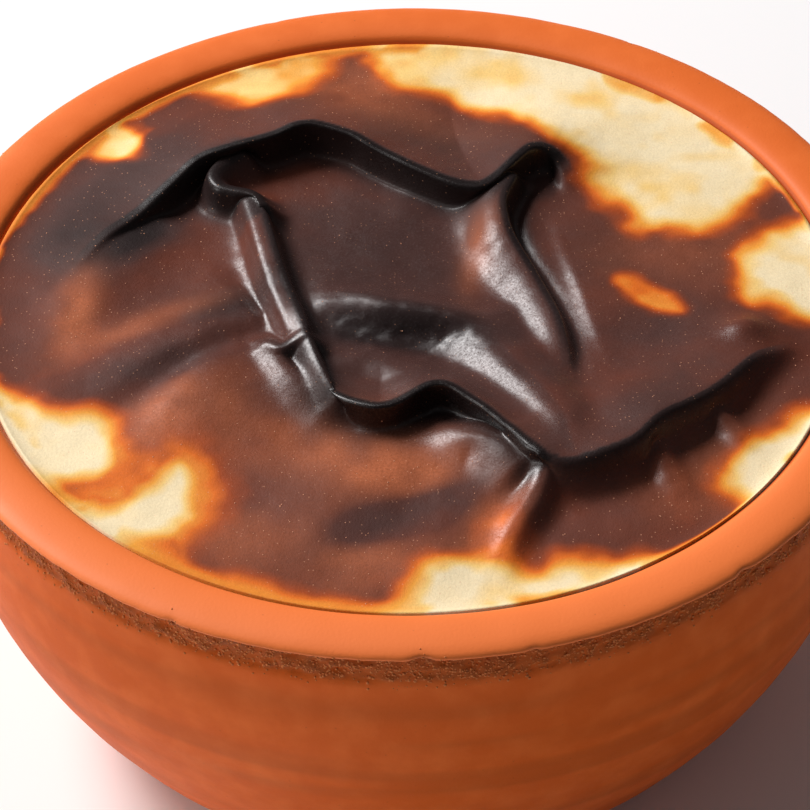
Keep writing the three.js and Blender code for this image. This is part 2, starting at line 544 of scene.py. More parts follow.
class BitScatter:
    """Scatters small lumps over a piece's surface with Geometry Nodes and keeps only the lumps."""

    def __init__(self) -> None:
        """Builds the tree with its named inputs."""
        self.tree = bpy.data.node_groups.new("scattered_bits", "GeometryNodeTree")
        self.tree.is_modifier = True
        face = self.tree.interface
        for way in ("INPUT", "OUTPUT"):
            face.new_socket("Geometry", in_out=way, socket_type="NodeSocketGeometry")
        self.sockets = {}
        for entry in BitInput:
            label, kind, start = entry.value
            socket = face.new_socket(label, in_out="INPUT", socket_type=kind)
            if start is not None:
                socket.default_value = start
            self.sockets[entry] = socket.identifier
        self.wire_tree()

    def wire_tree(self) -> None:
        """Points on the surface, a flattened ball on each, turned at random, then made real."""
        nodes = Nodes(self.tree)
        given = nodes.add("NodeGroupInput").outputs
        where = nodes.add("GeometryNodeInputNamedAttribute", {"Name": given["Where"]}, data_type="FLOAT")
        points = nodes.add("GeometryNodeDistributePointsOnFaces", {
            "Mesh": given["Geometry"], "Seed": given["Seed"],
            "Density": nodes.math("MULTIPLY", given["Density"], where.outputs["Attribute"]),
        }, distribute_method="RANDOM").outputs
        ball = nodes.add("GeometryNodeMeshIcoSphere", {"Radius": 1.0, "Subdivisions": given["Roundness"]})
        size = nodes.add("FunctionNodeRandomValue", {
            2: given["Smallest"], 3: given["Largest"], "Seed": given["Seed"]}, data_type="FLOAT").outputs[1]
        stretch = nodes.add("FunctionNodeRandomValue", {2: 0.7, 3: 1.3}, data_type="FLOAT").outputs[1]
        scale = nodes.add("ShaderNodeCombineXYZ", {
            "X": nodes.math("MULTIPLY", size, stretch), "Y": size,
            "Z": nodes.math("MULTIPLY", size, given["Height"])})
        lumps = nodes.add("GeometryNodeInstanceOnPoints", {
            "Points": points["Points"], "Rotation": points["Rotation"],
            "Instance": ball.outputs["Mesh"], "Scale": scale.outputs["Vector"]})
        spin = nodes.add("FunctionNodeRandomValue", {1: (0.3, 0.3, 2.0 * math.pi)}, data_type="FLOAT_VECTOR")
        turned = nodes.add("GeometryNodeRotateInstances", {
            "Instances": lumps.outputs["Instances"], "Rotation": spin.outputs[0]})
        real = nodes.add("GeometryNodeRealizeInstances", {"Geometry": turned.outputs["Instances"]})
        dressed = nodes.add("GeometryNodeSetMaterial", {
            "Geometry": real.outputs["Geometry"], "Material": given["Finish"]})
        nodes.add("NodeGroupOutput", {"Geometry": dressed.outputs["Geometry"]})

    def over(self, host: Object, name: str, **values: object) -> Object:
        """Scatters bits over a finished piece.

        Args:
            host: The piece to scatter on; it stays as it is.
            name: The new piece's name.
            values: The tree's inputs for this piece, by their names in BitInput.

        Returns:
            The bits, as one plain mesh.
        """
        piece = link_object(name, host.data.copy())
        modifier = piece.modifiers.new("bits", "NODES")
        modifier.node_group = self.tree
        for key, value in values.items():
            modifier[self.sockets[BitInput[key.upper()]]] = value
        evaluated = piece.evaluated_get(bpy.context.evaluated_depsgraph_get())
        mesh = bpy.data.meshes.new_from_object(evaluated)
        piece.modifiers.remove(modifier)
        piece.data = mesh
        mesh.shade_smooth()
        return piece


# ---- the clay bowl


# Small chips out of the lip's edge: degrees round the bowl, width and depth.
NICKS = (
    (271, 1.2, 0.6), (283, 0.6, 0.3), (309, 0.8, 0.4), (243, 0.7, 0.3), (216, 0.6, 0.25),
    (338, 0.9, 0.35), (152, 0.8, 0.4), (60, 0.7, 0.3), (24, 1, 0.4), (107, 0.6, 0.3),
)


@dataclass(frozen=True)
class ClayBowl:
    """The round clay bowl, hand-finished: a wide rim, a rough band under its lip where it tore, a bulging
    wall.
    """

    height: float = RIM_Z
    turns: int = 600
    rim_outer: float = 59.2
    rim_inner: float = 52.2
    edge_drop: float = 0.8
    band_radius: float = 58.3
    band_bottom: float = 5.3
    belly_radius: float = 58.4
    belly_drop: float = 12.3
    lower_radius: float = 45.4
    lower_height: float = 5.6
    foot_radius: float = 37.5
    wall: float = 6.8
    taper: float = 1.2
    floor_radius: float = 30.0
    inside_rows: int = 17

    def outer_radius(self, z: Rows) -> Rows:
        """Radius of the outer wall at height z: a parabola from the belly to the turn of the foot."""
        belly = self.height - self.belly_drop
        fall = np.maximum(belly - z, 0.0) / (belly - self.lower_height)
        return self.belly_radius - (self.belly_radius - self.lower_radius) * fall ** 2

    def inner_radius(self, z: Rows) -> Rows:
        """Radius of the inside wall at height z, rounding into the flat floor."""
        depth = np.clip((self.height - z) / (self.height - self.wall), 0.0, 1.0)
        wall = self.rim_inner - 0.2 - self.taper * depth
        return self.floor_radius + (wall - self.floor_radius) * np.sqrt(1.0 - depth ** 4)

    def foot_outline(self) -> Rows:
        """The turn from the flat foot up to the wall, as one bent curve."""
        belly = self.height - self.belly_drop
        slope = 2.0 * (self.belly_radius - self.lower_radius) / (belly - self.lower_height)
        t = np.linspace(0.0, 1.0, 12)[:, None]
        start, end = np.array([[self.foot_radius, 0.0], [self.lower_radius, self.lower_height]])
        bend = np.array([self.lower_radius - slope * self.lower_height, 0.0])
        return (1 - t) ** 2 * start + 2 * t * (1 - t) * bend + t ** 2 * end

    def rim_outline(self) -> Rows:
        """Up from the rough band under the lip, round the lip and over the rim's broad top to the inside."""
        top = self.height
        band = np.column_stack([
            np.full(14, self.band_radius), np.linspace(top - self.band_bottom + 0.25, top - 1.45, 14)])
        over = smooth_line(np.array([
            [self.band_radius + 0.15, top - 1.35], [self.rim_outer - 0.15, top - 1.1],
            [self.rim_outer, top - self.edge_drop], [58.75, top - 0.42], [57.6, top - 0.12],
            [55.8, top], [54.0, top - 0.1], [52.8, top - 0.42], [self.rim_inner, top - 1.0],
        ]), 0.22)
        return np.vstack([band, over])

    def outline(self) -> Rows:
        """The whole section, from the middle of the underside round to the middle of the floor."""
        wall_z = np.linspace(self.lower_height, self.height - self.band_bottom, 48)[1:]
        wall = np.column_stack([self.outer_radius(wall_z), wall_z])
        turn = np.sin(np.linspace(0, np.pi / 2, 14))
        inside_z = self.wall + (self.height - 1.25 - self.wall) * (1 - turn)
        inside = np.column_stack([self.inner_radius(inside_z), inside_z])
        underside = np.array([[0.0, 0.0], [18.0, 0.0], [34.0, 0.0]])
        floor = np.array([[15.0, self.wall], [0.0, self.wall]])
        return np.vstack([underside, self.foot_outline(), wall, self.rim_outline(), inside, floor])

    def torn_share(self, r: Rows, z: Rows) -> Rows:
        """Finds the torn band under the lip.

        Args:
            r: Radii.
            Finds the rough band under the lip, where the clay tore.

        Returns:
            How much each place belongs to the band, from 0 to 1.
        """
        drop = self.height - z
        share = smoothstep(self.edge_drop + 0.1, self.edge_drop + 0.5, drop)
        share *= 1.0 - smoothstep(self.band_bottom - 0.9, self.band_bottom + 0.5, drop)
        return share * (r > self.band_radius - 2.0)

    def chips(self, a: Rows) -> Rows:
        """Works out the chips in the lip's edge.

        Args:
            a: Angles round the bowl, in radians.

        Returns:
            How deep the lip is chipped at each.
        """
        total = np.zeros(len(a))
        for degrees, width, depth in NICKS:
            off = (a - math.radians(degrees) + np.pi) % (2 * np.pi) - np.pi
            total += depth * np.exp(-(off * self.rim_outer / width) ** 2)
        return total

    def build(self, finish: Material) -> Object:
        """Revolves the section and works the clay's unevenness into it.

        Args:
            finish: The clay material.

        Returns:
            The bowl.
        """
        section = self.outline()
        ring = section[1:-1]
        r, z = np.repeat(ring.T, self.turns, axis=1)
        a = np.tile(np.arange(self.turns) * (2 * np.pi / self.turns), len(ring))
        place = np.column_stack([r * np.cos(a), r * np.sin(a), z])
        torn = self.torn_share(r, z)
        outside = np.repeat(np.arange(len(ring)) < len(ring) - self.inside_rows, self.turns)
        drop = self.height - z
        pits = Noise(0.9, 11).at(place) + 0.6 * Noise(0.45, 12).at(place)
        gouges = Noise(2.4, 13).at(place * np.array([0.5, 0.5, 1.4]))
        wheel = Noise(1.5, 14).at(np.column_stack([z, a * 0.6]))
        worn = Noise(5.0, 15).at(place)
        r = r + torn * (0.3 * pits + 0.2 * gouges - 0.15)
        plain = outside * (1 - torn) * (drop > self.band_bottom) * (z > 1.0)
        r = r + plain * (0.05 * wheel + 0.06 * worn)
        edge = np.exp(-((drop - 1.0) / 0.5) ** 2) * outside * (r > self.band_radius - 0.5)
        chipped = self.chips(a)
        r = r - edge * (chipped + 0.06 * Noise(1.2, 16).at(place))
        rim_top = smoothstep(2.4, 0.8, drop)
        # The rim's share, larger at the front: it sets the rim's clear coat and also paints the rim paler as
        # sheen.
        polish_and_sheen = rim_top * (0.45 + 0.55 * smoothstep(0.3, -0.8, np.sin(a)))
        z = z + rim_top * (0.12 * Noise(26.0, 17).at(place) + 0.03 * Noise(4.0, 18).at(place))
        rows = np.column_stack([r * np.cos(a), r * np.sin(a), z])
        vertices = np.vstack([rows, [[0.0, 0.0, section[0, 1]], [0.0, 0.0, section[-1, 1]]]])
        rings = np.arange(len(rows)).reshape(-1, self.turns)
        faces = [face for pair in zip(rings, rings[1:]) for face in ring_faces(*pair)]
        faces += fan_faces(rings[0], len(rows)) + fan_faces(rings[-1][::-1], len(rows) + 1)
        piece = link_mesh("clay_bowl", vertices, faces, finish)
        marks = Noise(2.2, 19).at(np.column_stack([z, a * 5.0])) + 0.5 * wheel
        add_values(
            piece,
            torn=np.clip(torn * (0.75 + 0.4 * pits) + edge * chipped, 0, 1),
            streak=0.3 * (plain * smoothstep(-0.3, 1.2, marks)),
            stain=smoothstep(0.5, 1.1, drop) * ~outside * 0.6,
            rim=polish_and_sheen,
        )
        return piece


# ---- the pudding's skin


class SteepSide(Enum):
    """Which side of a fold's line, walking along it, falls away steeply."""

    LEFT = 1.0
    RIGHT = -1.0


@dataclass(frozen=True)
class Fold:
    """One fold of the skin, along its crest.

    Attributes:
        crest: Rows of x, y and height above the flat skin.
        back: Width of the gentle side.
        face: Width of the steep side.
        lean: How far the crest is pushed out over its steep side.
        side: Which side is steep.
        trough: Depth of the dip at the foot of the steep side.
        edge: Sharpness of the gentle side's fall: 2 is round and 1 is an edge.
        toe: The same for the steep side: less than 2 runs out in a long soft foot.
        dark_reach_back: How far the darkening reaches back over the crest.
        dark_reach_out: How far the darkening runs out past the steep side.
        char_and_shade: How dark the steep side is, 0 to 1: charred skin and painted shade on the face.
    """

    crest: tuple
    back: float
    face: float
    lean: float = 0.0
    side: SteepSide = SteepSide.RIGHT
    trough: float = 0.0
    edge: float = 1.4
    toe: float = 2.3
    dark_reach_back: float = 0.4
    dark_reach_out: float = 0.0
    char_and_shade: float = 1.0

    BEND_SOFTNESS: ClassVar[float] = 1.6
    END_ROUNDING: ClassVar[float] = 2.2
    CREST_RADIUS: ClassVar[float] = 0.45

    def nearest(self, place: Rows) -> tuple[Rows, ...]:
        """Finds the nearest part of the crest.

        Args:
            place: Rows of x and y.

        Returns:
            The distance, positive on the steep side; the crest's height there, dying out past
            the ends; and the level direction that points away over the steep side.
        """
        line = smooth_line(np.array(self.crest, float), 0.7)
        start, run = line[:-1], np.diff(line, axis=0)
        length = np.hypot(run[:, 0], run[:, 1])
        reach = place[:, None, :] - start[None, :, :2]
        share = (reach * run[:, :2]).sum(-1) / length ** 2
        along = np.clip(share, 0.0, 1.0)
        off = reach - along[..., None] * run[:, :2]
        distance = np.hypot(off[..., 0], off[..., 1])
        first = distance.argmin(1)
        rows = np.arange(len(place))
        best = distance[rows, first]
        past = np.where((first == 0) & (share[:, 0] < 0.0), share[:, 0] * length[0], 0.0)
        beyond = (share[:, -1] - 1.0) * length[-1]
        past += np.where((first == len(run) - 1) & (beyond > 0.0), beyond, 0.0)
        turn = run[first, 0] * off[rows, first, 1] - run[first, 1] * off[rows, first, 0]
        side = np.where(turn >= 0.0, 1.0, -1.0) * self.side.value
        softness = (self.BEND_SOFTNESS + 0.35 * best)[:, None]
        weight = np.exp(-(distance ** 2 - best[:, None] ** 2) / softness ** 2)
        weight /= weight.sum(1, keepdims=True)
        height = (weight * (start[:, 2] + run[:, 2] * along)).sum(1)
        height *= np.exp(-(past / self.END_ROUNDING) ** 2)
        normal = self.side.value * np.column_stack([-run[:, 1], run[:, 0]]) / length[:, None]
        return side * np.sqrt(np.maximum(best ** 2 - past ** 2, 0.0)), height, weight @ normal

    def shape(self, place: Rows) -> tuple[Rows, ...]:
        """Works out what the fold does to the skin.

        Args:
            place: Rows of x and y on the flat skin.

        Returns:
            Its height, foot dip, sideways push, and charring and painted shade on crest and steep face, per
            row.
        """
        crest = np.array(self.crest, float)
        reach = 3.2 * max(self.back, self.face) + self.lean
        near = ((place > crest[:, :2].min(0) - reach) & (place < crest[:, :2].max(0) + reach)).all(1)
        true_distance, height, across = self.nearest(place[near])
        tall = crest[:, 2].max()
        lean = self.lean * height / tall
        d = true_distance + lean
        rounded = np.sqrt(d ** 2 + self.CREST_RADIUS ** 2) - self.CREST_RADIUS
        gentle = np.exp(-(rounded / self.back) ** self.edge)
        steep = np.exp(-(rounded / self.face) ** self.toe)
        rise, dip, char_and_shade = np.zeros((3, len(place)))
        push = np.zeros((len(place), 2))
        rise[near] = height * np.where(d < 0.0, gentle, steep)
        dip[near] = self.trough * (height / tall) * np.exp(-((d - 1.9 * self.face) / self.face) ** 2)
        width = np.where(d < 0.0, max(0.45 * self.back, 1.4 * self.lean), 1.05 * self.face)
        push[near] = (lean * np.exp(-(d / width) ** 2))[:, None] * across
        # The darkening from charring and painted shade reaches furthest past the steep, overhanging face.
        darkened_width = np.where(d < 0.0, self.dark_reach_back, 1.4 * self.face + 1.0 + self.dark_reach_out)
        tall_enough = np.clip((height - 0.9) / 1.7, 0.0, 1.0)
        char_and_shade[near] = self.char_and_shade * tall_enough * np.exp(-(np.abs(d) / darkened_width) ** 2.5)
        return rise, dip, push, char_and_shade


class Areas:
    """Soft oval areas that add up: rises of the skin in millimetres, or shares of a look."""

    def __init__(self, *rows: tuple) -> None:
        """Keeps rows of x, y, the two radii, their turn in degrees, and the strength in the middle."""
        self.rows = rows

    def at(self, place: Rows) -> Rows:
        """Adds the areas up.

        Args:
            place: Rows of x and y.

        Returns:
            Their summed strength at each.
        """
        total = np.zeros(len(place))
        for x, y, length, width, turn, strength in self.rows:
            c, s = math.cos(math.radians(turn)), math.sin(math.radians(turn))
            off = place - np.array([x, y])
            along = (c * off[:, 0] + s * off[:, 1]) / length
            across = (-s * off[:, 0] + c * off[:, 1]) / width
            total += strength * np.exp(-(along ** 2 + across ** 2))
        return total


@dataclass(frozen=True)
class PalePatch:
    """A patch where the skin stayed pale: its outline, how soft its edge is and how pale it is."""

    outline: tuple
    soft: float = 3.4
    browning: float = -0.03

    def inside(self, place: Rows) -> Rows:
        """Measures how far into the patch places lie.

        Args:
            place: Rows of x and y.

        Returns:
            The distance from the outline at each, positive inside.
        """
        line = smooth_line(np.array(self.outline, float), 1.0, closed=True)
        best = np.full(len(place), 1e9)
        within = np.zeros(len(place), bool)
        for start, end in zip(line, np.roll(line, -1, axis=0)):
            run = end - start
            reach = place - start
            t = np.clip(reach @ run / (run @ run), 0.0, 1.0)
            best = np.minimum(best, np.hypot(*(reach - t[:, None] * run).T))
            crosses = (start[1] > place[:, 1]) != (end[1] > place[:, 1])
            rise = np.where(run[1] == 0.0, 1e-9, run[1])
            within ^= crosses & (place[:, 0] < start[0] + run[0] * (place[:, 1] - start[1]) / rise)
        return np.where(within, best, -best)


LEFT = SteepSide.LEFT
SOFT = {"edge": 2.0, "toe": 2.0, "char_and_shade": 0.0}  # a round rise with no charring and no painted shade

FOLDS = {
    "back": Fold(((-43.5, 3.5, 0.2), (-41, 7.5, 1.1), (-37.5, 12.5, 1.8), (-33, 17, 2.4), (-29, 21.5, 3.2),
        (-26, 24.5, 3.9), (-22, 26.2, 4.3), (-17, 28, 4.6), (-12.5, 30, 4.9), (-7.5, 28.5, 4.6),
        (-4, 26, 4.3), (1.5, 22, 3.9), (7, 19, 3.5), (10, 19.2, 3.5), (13, 23, 4.1), (15.5, 26, 4.1),
        (18, 26.8, 3.3), (19.8, 25.8, 1.8), (20.8, 24.2, 0.5)),
        back=6.5, face=2.2, lean=2.6, trough=0.2, edge=1.3, toe=3.2, dark_reach_back=0.3),
    "curl": Fold(((-21, 26.5, 3.2), (-23.2, 24.2, 3.4), (-24.3, 21.5, 3.5), (-23.4, 19.2, 3.6),
        (-21.4, 18.3, 3.6), (-19.4, 17.5, 3.6), (-18.2, 15.5, 3.4)),
        back=1.3, face=1.7, lean=1, edge=1.7, dark_reach_back=1, char_and_shade=0.9),
    "left": Fold(((-18.4, 17, 3.2), (-17.1, 11, 3.3), (-16.3, 7, 3.3), (-15.4, 3.2, 3.3),
        (-14.4, -0.5, 3.2), (-13.3, -4, 3), (-12.6, -6.5, 2.6)),
        back=1.9, face=1.4, lean=0.7, side=LEFT, edge=4.2, toe=1.8, char_and_shade=0.75),
    "left_shoulder": Fold(((-20, 14.5, 0.3), (-19.5, 11.9, 0.7), (-18.5, 7.5, 0.9), (-17.2, 1.9, 1),
        (-16.1, -1.8, 0.9), (-14.8, -5.4, 0.8), (-14.1, -8, 0.3)), back=1.5, face=1.6, **SOFT),
    "left_end": Fold(((-14.1, -1.5, 2.6), (-13.2, -4.5, 3.1), (-11.9, -9.5, 3.3), (-10.8, -13, 3.2),
        (-9.5, -16.2, 3), (-8.4, -18.2, 2.4)),
        back=1.5, face=1.4, lean=0.7, side=LEFT, edge=1.3, toe=1.8, char_and_shade=0.75),
    "front": Fold(((-11.6, -12, 0.5), (-10.7, -14.6, 1.5), (-9.6, -17, 2.5), (-7.9, -19, 3.1),
        (-6, -20.4, 3.4), (-4.2, -21.3, 3.5), (-2.3, -21.2, 3.6), (-0.8, -20.4, 3.7), (1.1, -19, 3.8),
        (2.8, -18.2, 3.9), (4.6, -18.5, 4), (7, -20.4, 3.9), (9, -22.4, 3.8), (10.8, -24.6, 3.6),
        (12.5, -26.8, 3.4), (14.4, -29.6, 3.2)),
        back=2.4, face=1.9, lean=2.4, trough=0.2, toe=2.8, dark_reach_out=2),
    "front_toe": Fold(((-0.5, -25.6, 0.1), (2, -25, 0.6), (4.8, -24.2, 1.6), (7.8, -24.3, 2.2),
        (10.5, -26.4, 2.6), (12.8, -29.4, 2.2)), back=3.2, face=3.9, **SOFT),
    "front_right": Fold(((11.5, -25.6, 2.8), (13.6, -28.4, 3.2), (15.8, -30, 3.3), (18, -30.5, 3.3),
        (21.5, -29.5, 3.3), (25.5, -27.5, 3.3), (29, -23.5, 3.3), (33.5, -20, 3.2), (37, -16.5, 3),
        (41, -11.5, 2.3), (45, -8.5, 1), (47.5, -8, 0.2)),
        back=8, face=2.3, lean=1.3, trough=0.3, edge=1.2, toe=1.8, dark_reach_back=0.1, dark_reach_out=-1.5, char_and_shade=0.66),
    "pleat": Fold(((27.6, -25.2, 1.2), (28.6, -27, 1.6), (29.4, -29, 1.1), (30.4, -31.6, 0.2)),
        back=1.5, face=1.1, **SOFT),
    "far_pleat": Fold(((34.8, -18.8, 1), (36.2, -20.6, 1.5), (37.4, -22.4, 1), (38.8, -24.6, 0.2)),
        back=1.4, face=1, **SOFT),
    "spur": Fold(((15.4, -29.2, 2.7), (14.9, -31.8, 2.4), (13.5, -35.2, 1.9), (11.8, -38.4, 1.5),
        (10.5, -41.5, 1), (9.4, -45, 0.2)),
        back=1.7, face=1.9, lean=0.4, side=LEFT, trough=0.3, edge=1.3, dark_reach_back=0.2, dark_reach_out=-1.2, char_and_shade=0.4),
    "right": Fold(((13.2, 21, 3.3), (11.8, 16.5, 3.4), (12.1, 12, 3.2), (13.1, 8.5, 2.8), (15, 4, 2.3),
        (16.4, 0, 2.15), (17.5, -3.5, 2.1), (18.2, -7.5, 1.9), (18.5, -11, 1.4), (18.3, -14, 0.7),
        (17.8, -16, 0.2)),
        back=3.3, face=1.1, lean=0.6, side=LEFT, trough=0.6, edge=2, dark_reach_back=0.5, char_and_shade=0.85),
    "middle": Fold(((-10, 1, 0.6), (-6, 0, 1.5), (-2.5, -1.5, 2), (1, -2.5, 2.2), (5, -3.6, 2.2),
        (7.5, -4.6, 1.9), (9.5, -5.4, 1)), back=2.4, face=3, lean=0.8, trough=0.2, toe=2, char_and_shade=0.35),
    "middle_slope": Fold(((8.4, -4.2, 1.3), (9.7, -8, 2), (12.2, -13, 2.5), (14.9, -17.6, 2.9),
        (17.2, -22.5, 3), (18.2, -27, 2.6)), back=5, face=4.3, edge=2, toe=2, char_and_shade=0.15),
    "inner": Fold(((-8, -9.5, 0.5), (-4.5, -9.8, 0.8), (-1, -12, 1), (2, -13.4, 1), (6, -17, 0.9),
        (9, -20, 0.5)), back=2.6, face=2.6, edge=1.8, toe=1.9, char_and_shade=0),
    "pocket_top": Fold(((-17.4, -7.8, 0.9), (-16.5, -8.9, 2.1), (-15.6, -9.8, 2.5), (-14.5, -9.7, 2.7),
        (-13.3, -9, 3), (-12.2, -8.8, 3.1)), back=1.6, face=1.3, lean=0.4, edge=1.6, char_and_shade=0.4),
    "pocket_side": Fold(((-16.5, -8.9, 2), (-15.1, -11.4, 1.9), (-13.1, -14.6, 1.8), (-11, -17.2, 1.4),
        (-9.4, -19, 0.6)), back=1.1, face=2.5, edge=1.8, toe=2, char_and_shade=0),
    "left_low_1": Fold(((-33, 17, 0.9), (-36, 12, 1.4), (-38.5, 7, 1.3), (-40.5, 2, 1.1),
        (-41.5, -4.5, 0.6), (-42, -10, 0.1)), back=4, face=6, side=LEFT, edge=1.8, char_and_shade=0),
    "left_low_2": Fold(((-20, -1.5, 1.4), (-26, -5, 1.5), (-31, -8, 1.3), (-36.5, -13, 0.6),
        (-40, -17, 0.1)), back=6, face=3.5, side=LEFT, edge=1.7, char_and_shade=0),
    "left_low_3": Fold(((-19.5, -9.5, 0.9), (-23, -12.5, 1.4), (-27, -18, 1.1), (-30.5, -24, 0.5),
        (-33, -29, 0.1)), back=7, face=3.5, edge=1.7, char_and_shade=0),
    "front_low_1": Fold(((2, -23.5, 0.3), (-3, -28, 0.8), (-9, -34, 0.7), (-15, -41, 0.2)),
        back=6, face=7, **SOFT),
    "front_low_2": Fold(((10, -31, 0.4), (6.5, -36, 0.5), (2, -42, 0.4), (-2, -47, 0.1)),
        back=5, face=6, **SOFT),
    "right_low": Fold(((19.1, 14, 0.2), (19.8, 10, 0.4), (20.9, 5, 0.6), (22, -0.5, 0.65), (23, -5.5, 0.65),
        (24, -11, 0.5), (24.6, -15.5, 0.1)), back=6, face=1.15, edge=1.8, toe=2, char_and_shade=0),
}

PALE_PATCHES = {
    "back_left": PalePatch(((-27, 46), (-25, 41), (-20, 38), (-16, 40.5), (-11.5, 43.5), (-10, 48),
        (-11, 56), (-24, 56)), browning=0.16),
    "far_left": PalePatch(((-40.5, 35), (-36.5, 37.5), (-34, 33), (-35, 28), (-38.5, 29)),
        soft=2.0, browning=0.1),
    "back_right": PalePatch(((-4, 50), (-2.5, 43), (4.5, 41), (8, 37.5), (13, 34), (17.5, 32), (20.5, 29.5),
        (23.5, 24), (27, 17), (29.5, 14.5), (36, 14.5), (40.5, 16.5), (44, 21), (47, 26), (46, 34),
        (36, 46), (20, 54), (0, 57)), browning=0.04),
    "right": PalePatch(((54, 17), (45, 14), (41, 7), (41, 2), (45, -1), (49, -2.5), (58, 0), (58, 14))),
    "right_low": PalePatch(((36, -33), (36.5, -28), (41.5, -23), (47, -19), (54, -20), (46, -38))),
    "left_low": PalePatch(((-54, -12), (-44, -17), (-37, -19), (-35, -24), (-37.5, -29.5), (-43, -30),
        (-54, -24))),
    "left_lower": PalePatch(((-43, -33), (-35, -34), (-31, -31), (-27, -27), (-24, -30), (-25.5, -35),
        (-30, -39), (-38, -42))),
    "front": PalePatch(((-2, -56), (0.5, -46.5), (4, -43.8), (13, -44.5), (22, -43), (27, -46), (16, -58))),
    "left_glow": PalePatch(((-46, -22), (-38, -20), (-32, -22), (-26, -23), (-22, -28), (-23, -37),
        (-30, -42), (-40, -36)), soft=4.5, browning=0.36),
    "front_glow": PalePatch(((9, -52), (7, -44), (9.5, -37), (11.5, -37.5), (12, -44), (13, -50)),
        soft=3.0, browning=0.34),
    "right_spot": PalePatch(((26, 4), (29, 3.2), (33, -0.5), (33.2, -2.8), (29.5, -2), (26.4, 1)),
        soft=1.7, browning=0.34),
}

CRINKLED = Areas(
    (-2, -6, 11, 4, -8, 1.0), (-18.8, 5, 1.6, 9, 14, 0.8), (10, 9, 2, 5, 10, 0.5),
    (32, -25, 9, 3, 42, 0.6),
)
SWELLS = Areas((-2, 10, 12, 10, 0, 0.5), (24, -22, 10, 6, 40, 0.9), (40.2, -6.2, 3.0, 2.4, 20, 1.5))
FLAT_AREAS = Areas((35, 24, 12, 12, 0, 0.95))
GLOSSY = Areas(
    (1, -4, 26, 24, 0, 1.7), (13, -34, 3, 10, -22, 0.7), (8, -25.5, 7, 4, -30, 0.5),
    (8, 11, 2, 6, -8, -1.2), (38, -8, 5, 2.5, -35, 0.9), (33, -25, 8, 3.5, 42, 0.5),
)
# Darker browning ovals. Those under the middle fold's crest, in the pocket's hollow and in the valleys at
# the left and front-left are painted shade.
DARK_AND_SHADED_AREAS = Areas(
    (0, 1, 26, 24, 0, 0.12), (-3, 13, 14, 11, 0, 0.04), (-2, -5, 10, 3, -10, 0.16),
    (27, -22, 14, 5, 35, 0.1), (-31, -11, 10, 3, 22, 0.12), (-3.5, -37.5, 3.5, 11, -62, 0.12),
    (-30, 29, 11, 6, 35, 0.1), (31, -6, 11, 8, 25, 0.1), (-13.6, -11.5, 3.2, 1.3, -62, 0.2),
    (-41, 14, 7, 9, -25, 0.2), (-33, 12, 2.5, 6, -45, 0.2), (-21, 0, 6, 2.5, 25, 0.12),
    (1, 32, 12, 5, -25, 0.08),
)
TAN_AREAS = Areas(
    (-8, -25.5, 13, 6, -12, 0.8), (-1, -30.5, 7, 3.5, 18, 0.85), (-28, -19, 9, 4.5, 38, 0.95),
    (-10, -42, 15, 5, -12, 0.85), (9.5, -38, 3, 8, -18, 0.9), (33, 9, 10, 8, 0, 0.3),
    (-5, 43, 7, 6, 0, 0.6), (-40, -1, 2.6, 7, -5, 0.9), (-32, -3.5, 9, 2.2, 28, 0.6),
    (36, -29, 10, 5, 40, 0.5), (0, 34, 9, 4, -20, 0.3), (-3.5, -37.5, 3.2, 12, -62, -0.8),
    (8.5, 9, 1.8, 6, -8, 0.75), (-31, -11, 10, 3.5, 22, -0.5),
)


